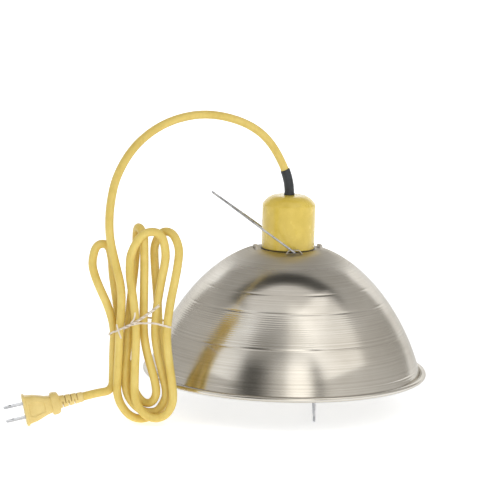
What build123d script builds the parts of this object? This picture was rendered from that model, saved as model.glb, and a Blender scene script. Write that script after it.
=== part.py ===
from build123d import *
import math
import os

# Heat lamp fixture: a spun aluminium reflector with a socket housing on its crown, a wire hanger,
# a wire bulb guard across its mouth, and a cord tied into a hank with a two blade plug.
# Millimetres, +Z up. The origin is on the floor under the lamp axis, and the guard stands on the floor.

# ---- driving dimensions ----
RIM_Z = 32.0                  # height of the plane of the rim
BOWL_FOOT_R = 127.0           # outside radius of the bowl wall at the rim plane
BOWL_APEX = 121.0             # height at which the bowl curve would close, above the rim plane
BOWL_HEIGHT_POWER = 1.3
BOWL_RADIUS_POWER = 0.458
CROWN_HEIGHT = 115.5          # flat crown above the rim plane
SHEET = 0.9                   # aluminium sheet thickness
BEAD_R = 2.5                  # rolled bead section radius
BEAD_RING_R = 131.0           # radius of the bead's centre circle

AXIS_TURN = 10.0              # the hanger, its bridges and the screws are turned about +Z by this many degrees
BRIDGE_RING_R = 30.5          # distance of the lanced bridges from the lamp axis
BRIDGE_LENGTH = 15.0
BRIDGE_WIDTH = 3.0
BRIDGE_OPENING = 10.0
BRIDGE_GAP = 2.8              # free height under a bridge
BRIDGE_SHEET = 0.8

GASKET_THICK = 0.8
GASKET_R = 25.2
NECK_R = 16.5                 # porcelain neck that passes down through the crown
NECK_DROP = 8.0               # how far the neck stands out below the crown
NECK_CLEARANCE = 0.5

HOUSING_R = 24.8
HOUSING_HEIGHT = 49.7
HOUSING_WALL = 1.6
HOUSING_TOP_R = 13.0          # flat top of the housing
HOUSING_SHOULDER = 6.5        # height of the rounded shoulder
SCREW_RING_R = 20.2
BOSS_R = 2.9

FLANGE_R = 22.2               # porcelain flange
FLANGE_THICK = 5.0
PORCELAIN_R = 17.0
PORCELAIN_HEIGHT = 30.0       # above the crown gasket

SHELL_R = 13.2                # inside radius of the screw shell
SHELL_WALL = 0.4
SHELL_LENGTH = 24.0
CONTACT_GAP = 2.2             # the leaf spring stands this far below its riveted end
RECESS_R = 10.4               # recess above the screw shell, where the leaf spring moves
RECESS_DEPTH = 4.2
RIVET_X = 8.0                 # the contact's rivet
LEAF_ROOT_X = 6.1             # where the contact strip starts to bend
CONTACT_SHEET = 0.4
SHELL_RIVET = (-10.6, -4.4)   # the rivet between screw shell and neutral terminal
TERMINAL_X = 10.5
TERMINAL_Y = 4.6              # the binding screws
POCKET_DEPTH = 2.5
PLATE_THICK = 0.8

CORD_D = 7.6
BOOT_D = 9.0
BOOT_LENGTH = 24.5
BOOT_TURN = 24.0              # degrees that the boot bends over its free length
BOOT_HEADING = 195.0          # the boot and the cord leave towards this direction about +Z
BOOT_NECK_R = 4.5
BOOT_FLANGE_R = 7.5
BOOT_FLANGE_THICK = 2.0
BOOT_BORE_R = 3.9
CONDUCTOR_D = 2.6
JACKET_DROP = 9.0             # the cord's jacket ends this far below the housing's ceiling

HANGER_WIRE_D = 2.0
HANGER_LENGTH = 89.0
HANGER_REST_TILT = 54.6       # from upright, towards -X
HANGER_FOOT = 33.6            # half the spread of the legs at the pins
HANGER_KNEE = (29.0, 46.0)    # half spread and distance from the pins where the legs begin to close in
HANGER_SHOULDER = (5.0, 81.0)
HANGER_TIP_HALF = 2.6
HANGER_PIN_END = 27.0

GUARD_WIRE_D = 2.4

HANK_FRONT = -114.0
HANK_BACK = -90.0
TIE_Z = 86.0
TIE_WIDTH = 2.4
TIE_THICK = 0.7
TIE_CLEARANCE = 0.3

PLUG_FACE = (-234.0, -121.0, 14.2)    # middle of the plug's front face
PLUG_PITCH = 12.2                     # degrees that the nose points below level
PLUG_YAW = 12.0                       # degrees that the nose points forward of -X
PLUG_THICK = 14.6
PLUG_FACE_WIDTH = 28.4
PLUG_WAIST_WIDTH = 15.5
PLUG_BODY_LENGTH = 24.6
PLUG_COLLAR_LENGTH = 8.0
PLUG_COLLAR_WIDTH = 20.4
RELIEF_LENGTH = 21.5
RELIEF_ROOT_D = 11.6
RELIEF_END_D = 9.0
BLADE_LENGTH = 17.5
BLADE_WIDTH = 6.35
BLADE_THICK = 1.5
BLADE_SPACING = 12.7
BLADE_ROOT = 12.0                     # length of each blade inside the plug

# ---- worked out heights ----
CROWN_Z = RIM_Z + CROWN_HEIGHT
SEAT_Z = CROWN_Z + GASKET_THICK
HOUSING_TOP_Z = SEAT_Z + HOUSING_HEIGHT
CEILING_Z = HOUSING_TOP_Z - HOUSING_WALL
JACKET_END_Z = CEILING_Z - JACKET_DROP
PORCELAIN_TOP_Z = SEAT_Z + PORCELAIN_HEIGHT
NECK_BOTTOM_Z = CROWN_Z - NECK_DROP
SHELL_BOTTOM_Z = NECK_BOTTOM_Z + 1.0
SHELL_TOP_Z = SHELL_BOTTOM_Z + SHELL_LENGTH
RECESS_Z = SHELL_TOP_Z + RECESS_DEPTH
PLATE_TOP_Z = PORCELAIN_TOP_Z - POCKET_DEPTH + PLATE_THICK
HANGER_PIN_Z = CROWN_Z + BRIDGE_GAP / 2

# The cord's route from the boot to the hank, and from the hank to the plug. The first point is the boot's end.
ARCH_ROUTE = [
    (-4.9, -1.3, 221.9),
    (-14.3, -3.8, 243.8),
    (-38.0, -15.0, 265.5),
    (-76.0, -36.0, 277.0),
    (-111.5, -57.0, 271.5),
    (-139.5, -76.0, 253.0),
    (-156.5, -92.0, 225.5),
    (-161.5, -103.0, 198.0),
    (-161.5, -103.0, 170.0),
]
TAIL_ROUTE = [
    (-160.0, -105.27, 30.55),
    (-182.26, -110.0, 25.64),
]
ARC_SHARE = 0.45              # share of the shorter run that a corner's arc takes up

# Outline of the hank seen from the front, as (x, z), clockwise from the arch's landing.
HANK_OUTLINE = [
    (-172.0, 170.0),
    (-147.0, 170.0),
    (-140.0, 185.0),
    (-98.0, 184.0),
    (-92.0, 160.0),
    (-104.0, 92.0),
    (-104.0, 80.0),
    (-100.0, 44.0),
    (-100.5, 16.0),
    (-110.0, 0.0),
    (-140.0, 0.0),
    (-155.0, 12.0),
    (-162.0, 22.0),
    (-162.0, 46.0),
    (-160.0, 80.0),
    (-160.0, 92.0),
    (-178.0, 134.0),
    (-179.0, 156.0),
]


def save(shape, name):
    shape.label = name
    export_step(shape, f"parts/{name}.step")


def turned(shape):
    """The shape turned with the hanger about the lamp axis."""
    return Rot(0, 0, AXIS_TURN) * shape


def bowl_point(height, inset=0.0):
    """A point (radius, z) of the bowl's outside at a height above the rim plane, moved inwards by inset."""
    share = 1 - (height / BOWL_APEX) ** BOWL_HEIGHT_POWER
    radius = BOWL_FOOT_R * share ** BOWL_RADIUS_POWER
    step = 0.01
    share_up = 1 - ((height + step) / BOWL_APEX) ** BOWL_HEIGHT_POWER
    radius_up = BOWL_FOOT_R * share_up ** BOWL_RADIUS_POWER
    normal = Vector(step, radius - radius_up).normalized()
    return Vector(radius, RIM_Z + height) - normal * inset


def arc_radii(points):
    """One arc radius for each corner of a route."""
    radii = []
    for before, corner, after in zip(points, points[1:], points[2:]):
        run_in = Vector(corner) - Vector(before)
        run_out = Vector(after) - Vector(corner)
        half_turn = math.radians(run_in.get_angle(run_out)) / 2
        radii.append(ARC_SHARE * min(run_in.length, run_out.length) / math.tan(half_turn))
    return radii


def wire_along(points, radii, diameter):
    """A round bar along straight runs joined by tangent arcs."""
    path = FilletPolyline(*points, radius=radii)
    start = Plane(origin=path @ 0, z_dir=path % 0)
    return sweep(start * Circle(diameter / 2), path=path)


def cord_along(name, points):
    radii = arc_radii(points)
    path = FilletPolyline(*points, radius=radii) if radii else Line(*points)
    start = Plane(origin=path @ 0, z_dir=path % 0)
    tube = sweep(start * Circle(CORD_D / 2), path=path)
    expected = math.pi * (CORD_D / 2) ** 2 * path.length
    rounded = [round(radius, 1) for radius in radii]
    print(f"{name}: length {path.length:.1f}, radii {rounded}, volume {tube.volume:.0f} of {expected:.0f}")
    return tube


def cylinder_between(radius, low, high, x=0.0, y=0.0):
    """An upright cylinder from height low to height high."""
    return Pos(x, y, (low + high) / 2) * Cylinder(radius, high - low)


# ---- reflector ----
def bridge():
    """A strip of the crown lanced up into a low arch, which the hanger's pin passes under."""
    rise = BRIDGE_GAP + BRIDGE_SHEET
    half = BRIDGE_LENGTH / 2
    half_open = BRIDGE_OPENING / 2
    outline = Polyline((-half, -0.2), (-half_open, rise), (half_open, rise), (half, -0.2), close=True)
    inner = Polyline(
        (-half_open, -0.4), (-half_open + 1.6, BRIDGE_GAP), (half_open - 1.6, BRIDGE_GAP), (half_open, -0.4), close=True
    )
    face = Plane.XZ * (make_face(outline) - make_face(inner))
    strip = extrude(face, BRIDGE_WIDTH / 2, both=True)
    return Pos(0, -BRIDGE_RING_R, CROWN_Z) * strip


def reflector():
    heights = [0.0, 8.0, 20.0, 34.0, 50.0, 66.0, 82.0, 96.0, 106.0, 112.0, CROWN_HEIGHT]
    outside = [bowl_point(height) for height in heights]
    inside = [bowl_point(height, SHEET) for height in heights[:-1]]
    crown_under = CROWN_Z - SHEET
    last_inside = Vector(outside[-1].X - 2 * SHEET, crown_under)
    hole_r = NECK_R + NECK_CLEARANCE
    with BuildSketch(Plane.XZ) as section:
        with BuildLine():
            Spline(*outside)
            Line(outside[-1], (hole_r, CROWN_Z))
            Line((hole_r, CROWN_Z), (hole_r, crown_under))
            Line((hole_r, crown_under), last_inside)
            Spline(last_inside, *reversed(inside))
            Line(inside[0], outside[0])
        make_face()
        with Locations(((BOWL_FOOT_R + BEAD_RING_R) / 2, RIM_Z)):
            Rectangle(BEAD_RING_R - BOWL_FOOT_R + 1.2, SHEET)
        with Locations((BEAD_RING_R, RIM_Z)):
            Circle(BEAD_R)
    body = revolve(section.sketch, Axis.Z)
    for quarter in range(4):
        slot = Pos(0, -BRIDGE_RING_R, CROWN_Z) * Box(BRIDGE_OPENING - 1.5, BRIDGE_WIDTH, 4 * SHEET)
        body -= Rot(0, 0, 90 * quarter) * turned(slot)
        body += Rot(0, 0, 90 * quarter) * turned(bridge())
    for side in (-1, 1):
        body -= turned(Pos(side * SCREW_RING_R, 0, CROWN_Z) * Cylinder(2.1, 4))
    return body


# ---- socket ----
def housing_gasket():
    ring = cylinder_between(GASKET_R, CROWN_Z, SEAT_Z) - cylinder_between(NECK_R + NECK_CLEARANCE, CROWN_Z, SEAT_Z)
    for side in (-1, 1):
        ring -= turned(cylinder_between(2.1, CROWN_Z - 1, SEAT_Z + 1, x=side * SCREW_RING_R))
    return ring


def housing_solid(radius, top_z, top_r, bottom_z):
    """A round cap with a rounded shoulder."""
    shoulder_z = top_z - HOUSING_SHOULDER
    with BuildSketch(Plane.XZ) as section:
        with BuildLine():
            Line((0, bottom_z), (radius, bottom_z))
            Line((radius, bottom_z), (radius, shoulder_z))
            TangentArc((radius, shoulder_z), (radius - 3.2, shoulder_z + 3.9), tangent=(0, 1))
            TangentArc((top_r, top_z), (radius - 3.2, shoulder_z + 3.9), tangent=(1, 0))
            Line((top_r, top_z), (0, top_z))
            Line((0, top_z), (0, bottom_z))
        make_face()
    return revolve(section.sketch, Axis.Z)


def socket_housing():
    outer = housing_solid(HOUSING_R, HOUSING_TOP_Z, HOUSING_TOP_R, SEAT_Z)
    inner = housing_solid(HOUSING_R - HOUSING_WALL, CEILING_Z, HOUSING_TOP_R - 1.0, SEAT_Z - 1)
    bosses = [
        turned(cylinder_between(BOSS_R, SEAT_Z + FLANGE_THICK, CEILING_Z - 6.0, x=side * SCREW_RING_R))
        for side in (-1, 1)
    ]
    shell = outer - inner
    for boss in bosses:
        shell += boss & outer
    for side in (-1, 1):
        shell -= turned(cylinder_between(1.75, SEAT_Z, SEAT_Z + 20.0, x=side * SCREW_RING_R))
    return shell - cylinder_between(BOOT_NECK_R + 0.05, CEILING_Z - 1, HOUSING_TOP_Z + 1)


def porcelain_body():
    body = cylinder_between(NECK_R, NECK_BOTTOM_Z, SEAT_Z)
    body += cylinder_between(FLANGE_R, SEAT_Z, SEAT_Z + FLANGE_THICK)
    body += cylinder_between(PORCELAIN_R, SEAT_Z, PORCELAIN_TOP_Z)
    body -= cylinder_between(SHELL_R + SHELL_WALL, NECK_BOTTOM_Z - 1, SHELL_TOP_Z)
    body -= cylinder_between(RECESS_R, SHELL_TOP_Z - 1, RECESS_Z)
    body -= cylinder_between(1.1, SHELL_TOP_Z, PORCELAIN_TOP_Z + 1, x=RIVET_X)
    body -= cylinder_between(1.0, SHELL_TOP_Z - 1, PORCELAIN_TOP_Z + 1, *SHELL_RIVET)
    for side in (-1, 1):
        body -= turned(cylinder_between(2.2, SEAT_Z - 1, SEAT_Z + FLANGE_THICK + 1, x=side * SCREW_RING_R))
        body -= Pos(side * TERMINAL_X, 0, PORCELAIN_TOP_Z) * Box(9.0, 2 * PORCELAIN_R + 1, 2 * POCKET_DEPTH)
    return body


def sunk_head(clearance):
    """The countersunk head of the shell's rivet, flush with the underside of the shell's top."""
    x, y = SHELL_RIVET
    return Pos(x, y, SHELL_TOP_Z - SHELL_WALL / 2) * Cone(1.5 + clearance, 0.9 + clearance, SHELL_WALL)


def screw_shell():
    outside = cylinder_between(SHELL_R + SHELL_WALL, SHELL_BOTTOM_Z, SHELL_TOP_Z)
    bore = cylinder_between(SHELL_R, SHELL_BOTTOM_Z - 1, SHELL_TOP_Z - SHELL_WALL)
    window = cylinder_between(8.0, SHELL_TOP_Z - 2, SHELL_TOP_Z + 1)
    return outside - bore - window - sunk_head(0.05)


def contact_foot():
    """The riveted end of the contact strip, flat under the recess's ceiling."""
    foot = Pos(LEAF_ROOT_X + 1.9, 0, RECESS_Z - CONTACT_SHEET / 2) * Box(3.6, 4.4, CONTACT_SHEET)
    return foot - Pos(RIVET_X, 0, RECESS_Z) * Cylinder(1.05, 3)


def centre_contact():
    """The springing part of the contact strip, whose free end carries the round contact button."""
    top = RECESS_Z - 0.05
    under = RECESS_Z - CONTACT_GAP
    leaf_line = Polyline(
        (LEAF_ROOT_X, top), (LEAF_ROOT_X, top - CONTACT_SHEET), (2.4, under - CONTACT_SHEET),
        (-3.6, under - CONTACT_SHEET), (-3.6, under), (2.2, under), close=True,
    )
    leaf = extrude(Plane.XZ * make_face(leaf_line), 2.2, both=True)
    return leaf + Pos(-1.2, 0, under - 1.0) * Cylinder(2.4, 1.2)


def contact_rivet():
    """Holds the centre contact below the porcelain and the line terminal above it."""
    head_under = cylinder_between(1.7, RECESS_Z - 1.0, RECESS_Z - CONTACT_SHEET, x=RIVET_X)
    shank = cylinder_between(1.0, RECESS_Z - CONTACT_SHEET, PLATE_TOP_Z, x=RIVET_X)
    head_over = cylinder_between(1.7, PLATE_TOP_Z, PLATE_TOP_Z + 0.7, x=RIVET_X)
    return head_under + shank + head_over


def shell_rivet():
    """Holds the screw shell up in the porcelain and joins it to the neutral terminal."""
    shank = cylinder_between(0.9, SHELL_TOP_Z, PLATE_TOP_Z, *SHELL_RIVET)
    head_over = cylinder_between(1.6, PLATE_TOP_Z, PLATE_TOP_Z + 0.7, *SHELL_RIVET)
    return sunk_head(0) + shank + head_over


def terminal_plate(side):
    """A brass plate in its pocket on top of the porcelain, with holes for its screw and its rivet."""
    rivet_x, rivet_y = (RIVET_X, 0.0) if side > 0 else SHELL_RIVET
    plate = Pos(side * (TERMINAL_X - 0.9), 0, PLATE_TOP_Z - PLATE_THICK / 2) * Box(7.0, 14.0, PLATE_THICK)
    plate -= Pos(side * TERMINAL_X, TERMINAL_Y, PLATE_TOP_Z) * Cylinder(1.65, 4)
    return plate - Pos(rivet_x, rivet_y, PLATE_TOP_Z) * Cylinder(1.05, 4)


def terminal_screws():
    """The two binding screws, as one group of separate solids."""
    screws = []
    for side in (-1, 1):
        x = side * TERMINAL_X
        head = cylinder_between(3.0, PLATE_TOP_Z, PLATE_TOP_Z + 1.8, x=x, y=TERMINAL_Y)
        shank = cylinder_between(1.6, PLATE_TOP_Z - PLATE_THICK, PLATE_TOP_Z, x=x, y=TERMINAL_Y)
        slot = Pos(x, TERMINAL_Y, PLATE_TOP_Z + 1.8) * Box(6.2, 0.7, 1.2)
        screws.append(head + shank - slot)
    return Compound(children=screws)


def mounting_screws():
    """Two pan head screws from inside the reflector, through crown and flange into the housing's bosses."""
    screws = []
    for side in (-1, 1):
        x = side * SCREW_RING_R
        under = CROWN_Z - SHEET
        head = cylinder_between(3.1, under - 2.1, under, x=x)
        shank = cylinder_between(1.7, under, SEAT_Z + 16.0, x=x)
        slot = Pos(x, 0, under - 2.1) * Box(6.4, 0.8, 1.6)
        screws.append(turned(head + shank - slot))
    return Compound(children=screws)


# ---- cord entry ----
def bent_bar(radius):
    """A round bar along the boot's bend."""
    heading = math.radians(BOOT_HEADING)
    bend_r = BOOT_LENGTH / math.radians(BOOT_TURN)
    out = Vector(math.cos(heading), math.sin(heading), 0)
    base = Vector(0, 0, HOUSING_TOP_Z)
    centre = base + out * bend_r

    def on_arc(turn):
        angle = math.radians(turn)
        return centre - out * (bend_r * math.cos(angle)) + Vector(0, 0, bend_r * math.sin(angle))

    path = ThreePointArc(base, on_arc(BOOT_TURN / 2), on_arc(BOOT_TURN))
    return sweep(Plane(origin=path @ 0, z_dir=path % 0) * Circle(radius), path=path)


def cord_boot():
    """Rubber strain relief: a flange inside the housing, a neck through its top and a bent sleeve."""
    flange = cylinder_between(BOOT_FLANGE_R, CEILING_Z - BOOT_FLANGE_THICK, CEILING_Z)
    neck = cylinder_between(BOOT_NECK_R, CEILING_Z, HOUSING_TOP_Z)
    bore = cylinder_between(BOOT_BORE_R, CEILING_Z - BOOT_FLANGE_THICK - 1, HOUSING_TOP_Z)
    return flange + neck + bent_bar(BOOT_D / 2) - bore - bent_bar(BOOT_BORE_R)


def cord_in_boot():
    """The jacketed end of the cord, through the boot and down to the crimped collar."""
    straight = cylinder_between(CORD_D / 2, JACKET_END_Z, HOUSING_TOP_Z)
    return straight + bent_bar(CORD_D / 2)


def cord_crimp_collar():
    """A brass ring crimped on the cord under the boot, so that the cord can't be pulled out."""
    top = CEILING_Z - BOOT_FLANGE_THICK - 0.2
    return cylinder_between(5.0, top - 4.5, top) - cylinder_between(CORD_D / 2 + 0.05, top - 5, top + 1)


def conductor(side):
    """One insulated conductor from the cord's end to the side of its terminal screw."""
    end_z = PLATE_TOP_Z + CONDUCTOR_D / 2 + 0.05
    points = [
        (side * 1.7, 0.0, JACKET_END_Z - 0.05),
        (side * 1.7, 0.0, JACKET_END_Z - 3.6),
        (side * 7.0, 7.4, end_z + 3.2),
        (side * 9.6, 9.4, end_z),
    ]
    return wire_along(points, [2.6, 3.0], CONDUCTOR_D)


# ---- hanger and guard ----
def hanger_bail():
    """One wire: a pin at each foot, two legs past the housing, closing to a narrow tip."""
    knee_y, knee_s = HANGER_KNEE
    shoulder_y, shoulder_s = HANGER_SHOULDER
    half = [
        (HANGER_PIN_END, 0.0),
        (HANGER_FOOT, 0.0),
        (knee_y, knee_s),
        (shoulder_y, shoulder_s),
        (HANGER_TIP_HALF, HANGER_LENGTH),
    ]
    points = [(0, -y, s) for y, s in half] + [(0, y, s) for y, s in reversed(half)]
    radii = [2.0, 14.0, 12.0, 2.5, 2.5, 12.0, 14.0, 2.0]
    wire = wire_along(points, radii, HANGER_WIRE_D)
    return turned(Pos(0, 0, HANGER_PIN_Z) * Rot(0, -HANGER_REST_TILT, 0) * wire)


def bulb_guard():
    """One spring wire across the mouth, with its ends sprung against the inside of the bowl."""
    low = GUARD_WIRE_D / 2
    points = [
        (22.0, -119.2, RIM_Z + 12.0),
        (24.0, -122.2, RIM_Z + 1.0),
        (27.0, -80.0, low),
        (32.0, 80.0, low),
        (35.0, 118.8, RIM_Z + 1.0),
        (36.0, 115.8, RIM_Z + 12.0),
    ]
    return wire_along(points, [3.0, 6.0, 6.0, 3.0], GUARD_WIRE_D)


# ---- cord, hank and plug ----
def cord_hank():
    """The tied bundle of turns, as one closed solid of their outer shape."""
    face = make_face(Polyline(*HANK_OUTLINE, close=True))
    thick = HANK_BACK - HANK_FRONT
    return Pos(0, HANK_BACK, 0) * extrude(Plane.XZ * face, thick)


def cord_tail():
    """The straight end of the cord from the hank's side to the plug's strain relief."""
    left = min(x for x, z in HANK_OUTLINE if z < TIE_Z)
    inside_hank = Pos(left + 10, HANK_BACK, 30) * Box(20, 60, 40)
    return cord_along("cord_tail", TAIL_ROUTE) - inside_hank


def hank_tie():
    """A flat tie around the waist of the hank, with its twisted knot on the front."""
    left = min(x for x, z in HANK_OUTLINE if abs(z - TIE_Z) < 10)
    right = max(x for x, z in HANK_OUTLINE if abs(z - TIE_Z) < 10)
    middle = ((left + right) / 2, (HANK_FRONT + HANK_BACK) / 2)
    width = right - left + 2 * TIE_CLEARANCE
    depth = HANK_BACK - HANK_FRONT + 2 * TIE_CLEARANCE
    outer = Box(width + 2 * TIE_THICK, depth + 2 * TIE_THICK, TIE_WIDTH)
    ring = Pos(middle[0], middle[1], TIE_Z) * (outer - Box(width, depth, TIE_WIDTH + 1))
    knot = Pos(middle[0] - 6.0, HANK_FRONT - TIE_CLEARANCE - TIE_THICK - 1.2, TIE_Z) * Box(6.0, 2.4, 4.0)
    return ring + knot


def plug_frame():
    """The plug's own frame: +X runs back from the face along the cord, Y across, Z up the face."""
    return Pos(*PLUG_FACE) * Rot(0, 0, PLUG_YAW) * Rot(0, -PLUG_PITCH, 0)


def plug_blade(side, clearance=0.0):
    """A blade, or with clearance the pocket that it sits in."""
    z = side * BLADE_SPACING / 2
    length = BLADE_LENGTH + BLADE_ROOT
    bar = Box(length + clearance, BLADE_WIDTH + 2 * clearance, BLADE_THICK + 2 * clearance)
    return plug_frame() * Pos(BLADE_ROOT - length / 2, 0, z) * bar


def plug_body():
    """Moulded plug: a flared grip, a collar, and a ribbed strain relief."""
    half_face = PLUG_FACE_WIDTH / 2
    half_waist = PLUG_WAIST_WIDTH / 2
    grip_line = [
        (0, -half_face), (2.6, -half_face), (PLUG_BODY_LENGTH, -half_waist),
        (PLUG_BODY_LENGTH, half_waist), (2.6, half_face), (0, half_face),
    ]
    grip = extrude(Plane.XZ * make_face(Polyline(*grip_line, close=True)), PLUG_THICK / 2, both=True)
    grip = fillet(grip.edges(), 1.5)
    collar = Box(PLUG_COLLAR_LENGTH, PLUG_THICK, PLUG_COLLAR_WIDTH)
    collar = fillet(collar.edges(), 2.0)
    relief_from = PLUG_BODY_LENGTH + PLUG_COLLAR_LENGTH
    relief = Cone(RELIEF_ROOT_D / 2, RELIEF_END_D / 2, RELIEF_LENGTH)
    relief = Pos(relief_from + RELIEF_LENGTH / 2, 0, 0) * Rot(0, 90, 0) * relief
    body = grip + Pos(PLUG_BODY_LENGTH + PLUG_COLLAR_LENGTH / 2, 0, 0) * collar + relief
    for index in range(3):
        x = relief_from + 4.4 + 5.4 * index
        for side in (-1, 1):
            body -= Pos(x, 0, side * (RELIEF_ROOT_D / 2 + 0.6)) * Box(2.4, RELIEF_ROOT_D + 2, 4.6)
    body = plug_frame() * body
    for side in (-1, 1):
        body -= plug_blade(side, clearance=0.02)
    return body


def main():
    os.makedirs("parts", exist_ok=True)
    save(reflector(), "reflector")
    save(housing_gasket(), "housing_gasket")
    save(socket_housing(), "socket_housing")
    save(porcelain_body(), "porcelain_body")
    save(screw_shell(), "screw_shell")
    save(contact_foot(), "contact_foot")
    save(centre_contact(), "centre_contact")
    save(contact_rivet(), "contact_rivet")
    save(shell_rivet(), "shell_rivet")
    save(terminal_plate(1), "line_terminal")
    save(terminal_plate(-1), "neutral_terminal")
    save(terminal_screws(), "terminal_screws")
    save(mounting_screws(), "mounting_screws")
    save(cord_boot(), "cord_boot")
    save(cord_in_boot(), "cord_in_boot")
    save(cord_crimp_collar(), "cord_crimp_collar")
    save(conductor(1), "line_conductor")
    save(conductor(-1), "neutral_conductor")
    save(hanger_bail(), "hanger_bail")
    save(bulb_guard(), "bulb_guard")
    save(cord_along("cord_arch", ARCH_ROUTE), "cord_arch")
    save(cord_hank(), "cord_hank")
    save(cord_tail(), "cord_tail")
    save(hank_tie(), "hank_tie")
    save(plug_body(), "plug_body")
    save(plug_blade(1), "plug_blade_line")
    save(plug_blade(-1), "plug_blade_neutral")


main()
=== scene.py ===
import math

import bmesh
import bpy
from mathutils import Matrix, Vector, noise


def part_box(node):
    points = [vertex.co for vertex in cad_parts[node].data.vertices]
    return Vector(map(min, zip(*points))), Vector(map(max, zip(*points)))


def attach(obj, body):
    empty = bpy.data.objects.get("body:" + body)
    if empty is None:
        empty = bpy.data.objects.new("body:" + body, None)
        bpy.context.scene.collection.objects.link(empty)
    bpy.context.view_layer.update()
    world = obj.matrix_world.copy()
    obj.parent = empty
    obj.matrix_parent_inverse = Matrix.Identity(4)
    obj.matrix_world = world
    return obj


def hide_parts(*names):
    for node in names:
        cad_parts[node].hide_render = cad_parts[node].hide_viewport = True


# Looks of the heat lamp fixture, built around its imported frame. All lengths are in metres.
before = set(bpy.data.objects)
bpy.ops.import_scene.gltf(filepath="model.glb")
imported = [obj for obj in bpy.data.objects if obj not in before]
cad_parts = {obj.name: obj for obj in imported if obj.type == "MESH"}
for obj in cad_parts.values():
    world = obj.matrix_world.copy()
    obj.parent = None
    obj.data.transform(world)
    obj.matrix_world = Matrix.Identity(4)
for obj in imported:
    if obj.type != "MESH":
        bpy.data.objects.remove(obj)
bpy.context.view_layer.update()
MM = 0.001

# ---- places that follow from the frame ----
CROWN_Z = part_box("housing_gasket")[0].z
SEAT_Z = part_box("housing_gasket")[1].z
HOUSING_TOP_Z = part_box("socket_housing")[1].z
HOUSING_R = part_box("socket_housing")[1].x
AXIS_TURN = math.radians(10.0)
RIM_Z = 0.032
BEAD_RING_R = 0.131
BEAD_R = 0.0025
SHEET = 0.0009
NECK_HOLE_R = 0.017

CORD_D = 0.0076
TIE_Z = 0.086


# ---- camera ----
def make_camera():
    """The photograph's viewing angle: from the front and a little above, with a long lens."""
    data = bpy.data.cameras.new("camera")
    data.sensor_width = 36.0
    data.lens = 171.45
    data.clip_start = 0.05
    data.clip_end = 50.0
    pitch, yaw, roll = math.radians(9.32), math.radians(0.19), math.radians(1.5)
    forward = Vector((math.sin(yaw) * math.cos(pitch), math.cos(yaw) * math.cos(pitch), -math.sin(pitch)))
    level = Vector((math.cos(yaw), -math.sin(yaw), 0))
    upright = level.cross(forward)
    right = math.cos(roll) * level + math.sin(roll) * upright
    up = -math.sin(roll) * level + math.cos(roll) * upright
    camera = bpy.data.objects.new("camera", data)
    camera.matrix_world = Matrix(
        (
            (right.x, up.x, -forward.x, -0.0426),
            (right.y, up.y, -forward.y, -2.2),
            (right.z, up.z, -forward.z, 0.5059),
            (0, 0, 0, 1),
        )
    )
    bpy.context.collection.objects.link(camera)
    bpy.context.scene.camera = camera


make_camera()


# ---- small helpers ----
def link(obj):
    bpy.context.collection.objects.link(obj)
    return obj


def mesh_object(name, verts, faces, smooth=True):
    """A mesh piece, with the faces of a closed shape turned outwards."""
    mesh = bpy.data.meshes.new(name)
    mesh.from_pydata(verts, [], faces)
    bm = bmesh.new()
    bm.from_mesh(mesh)
    bmesh.ops.recalc_face_normals(bm, faces=bm.faces)
    bm.to_mesh(mesh)
    bm.free()
    if smooth:
        mesh.shade_smooth()
    return link(bpy.data.objects.new(name, mesh))


def apply_modifiers(obj):
    """The piece as a mesh with the result of its modifiers in it."""
    graph = bpy.context.evaluated_depsgraph_get()
    mesh = bpy.data.meshes.new_from_object(obj.evaluated_get(graph))
    name = obj.name
    bpy.data.objects.remove(obj)
    return link(bpy.data.objects.new(name, mesh))


def finish_piece(obj, body, material, *nodes):
    """Material, body and the CAD nodes that the piece stands for."""
    obj.data.materials.clear()
    obj.data.materials.append(MATERIALS[material])
    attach(obj, body)
    if nodes:
        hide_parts(*nodes)
    return obj


def lathe(name, profile, segments=192):
    """A ring about +Z with a closed outline of (radius, z) points, or with profile(angle) giving it."""
    verts, faces = [], []
    for turn in range(segments):
        angle = 2 * math.pi * turn / segments
        outline = profile(angle) if callable(profile) else profile
        for radius, z in outline:
            verts.append((radius * math.cos(angle), radius * math.sin(angle), z))
    count = len(outline)
    for turn in range(segments):
        here, there = turn * count, (turn + 1) % segments * count
        for i in range(count):
            j = (i + 1) % count
            faces.append((here + i, there + i, there + j, here + j))
    return mesh_object(name, verts, faces)


def outline(*corners, steps=5):
    """A closed outline from (x, y, rounding) corners."""
    points = []
    for i, (x, y, rounding) in enumerate(corners):
        corner = Vector((x, y))
        before = Vector(corners[i - 1][:2]) - corner
        after = Vector(corners[(i + 1) % len(corners)][:2]) - corner
        if rounding == 0:
            points.append(corner)
            continue
        start = corner + before.normalized() * min(rounding, before.length * 0.49)
        end = corner + after.normalized() * min(rounding, after.length * 0.49)
        for k in range(steps + 1):
            t = k / steps
            points.append(start * (1 - t) ** 2 + corner * 2 * t * (1 - t) + end * t * t)
    return [(point.x, point.y) for point in points]


def tube(name, rings):
    """A closed tube through rings of points, each ring closed and all of one length, with flat ends."""
    size = len(rings[0])
    verts = [point for ring in rings for point in ring]
    faces = [tuple(range(size)), tuple(reversed(range(len(verts) - size, len(verts))))]
    for row in range(len(rings) - 1):
        here, there = row * size, (row + 1) * size
        for i in range(size):
            j = (i + 1) % size
            faces.append((here + j, here + i, there + i, there + j))
    return mesh_object(name, verts, faces)


def joined(name, *parts):
    """One mesh piece from several."""
    bm = bmesh.new()
    for part in parts:
        part.data.transform(part.matrix_world)
        bm.from_mesh(part.data)
        bpy.data.objects.remove(part)
    mesh = bpy.data.meshes.new(name)
    bm.to_mesh(mesh)
    bm.free()
    return link(bpy.data.objects.new(name, mesh))


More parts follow.
